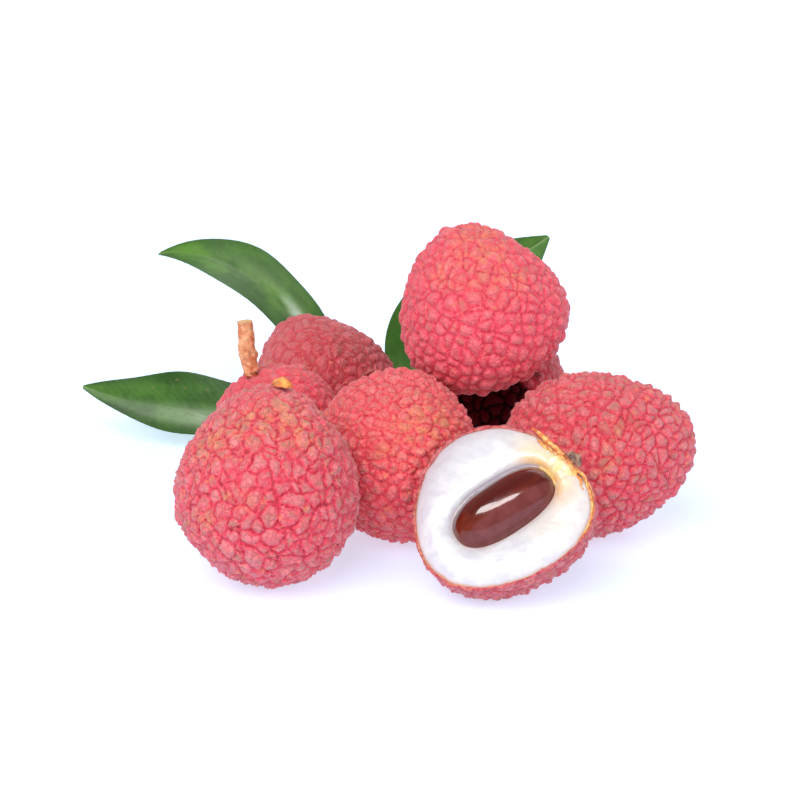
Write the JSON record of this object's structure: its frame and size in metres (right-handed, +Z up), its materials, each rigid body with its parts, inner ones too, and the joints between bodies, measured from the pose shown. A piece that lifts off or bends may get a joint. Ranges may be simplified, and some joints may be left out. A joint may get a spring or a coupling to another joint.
{
  "type": "bunch of lychees",
  "caption": "A heap of fresh lychees with knobbly red rind, one cut open to its white flesh and brown seed, with a leafy sprig behind, for a table or a bowl display.",
  "frame": {"origin": "the middle of the heap, on the surface it rests on", "axes": "+Z up; +X to the right as the cut half is faced; -Y towards the side that the cut half opens to"},
  "size_m": [0.1358, 0.1354, 0.061],
  "materials": {
    "rind_front_left": "matte, knobbly lychee rind",
    "rind_middle": "matte, knobbly lychee rind",
    "rind_right": "matte, knobbly lychee rind",
    "rind_top": "matte, knobbly lychee rind",
    "rind_rear_left": "matte, knobbly lychee rind",
    "rind_rear_low": "matte, knobbly lychee rind",
    "rind_rear_centre": "matte, knobbly lychee rind",
    "rind_half": "matte, knobbly lychee rind",
    "flesh": "wet, translucent white flesh",
    "seed": "polished brown seed",
    "pith": "torn yellow pith",
    "stalk": "rough tan stalk",
    "leaf": "waxy green leaf",
    "leaf_stalk": "smooth green stalk",
    "rachis": "fine grained brown twig"
  },
  "bodies": {
    "root": {"lychee_front_left": "rind_front_left", "lychee_middle": "rind_middle", "lychee_right": "rind_right", "lychee_top": "rind_top", "lychee_rear_left": "rind_rear_left", "lychee_rear_low": "rind_rear_low", "lychee_rear_centre": "rind_rear_centre", "stalk_front_left": "stalk", "stalk_middle": "stalk", "stalk_right": "stalk", "stalk_top": "stalk", "stalk_rear_left": "stalk", "stalk_rear_low": "stalk", "stalk_rear_centre": "stalk", "half_rind": "rind_half", "half_flesh": "flesh", "half_seed": "seed", "half_pith": "pith", "half_stalk": "stalk", "leaf_upper_left": "leaf", "leaf_lower_left": "leaf", "leaf_right": "leaf", "leaf_stalk_upper_left": "leaf_stalk", "leaf_stalk_lower_left": "leaf_stalk", "leaf_stalk_right": "leaf_stalk", "rachis": "rachis"}
  },
  "joints": []
}
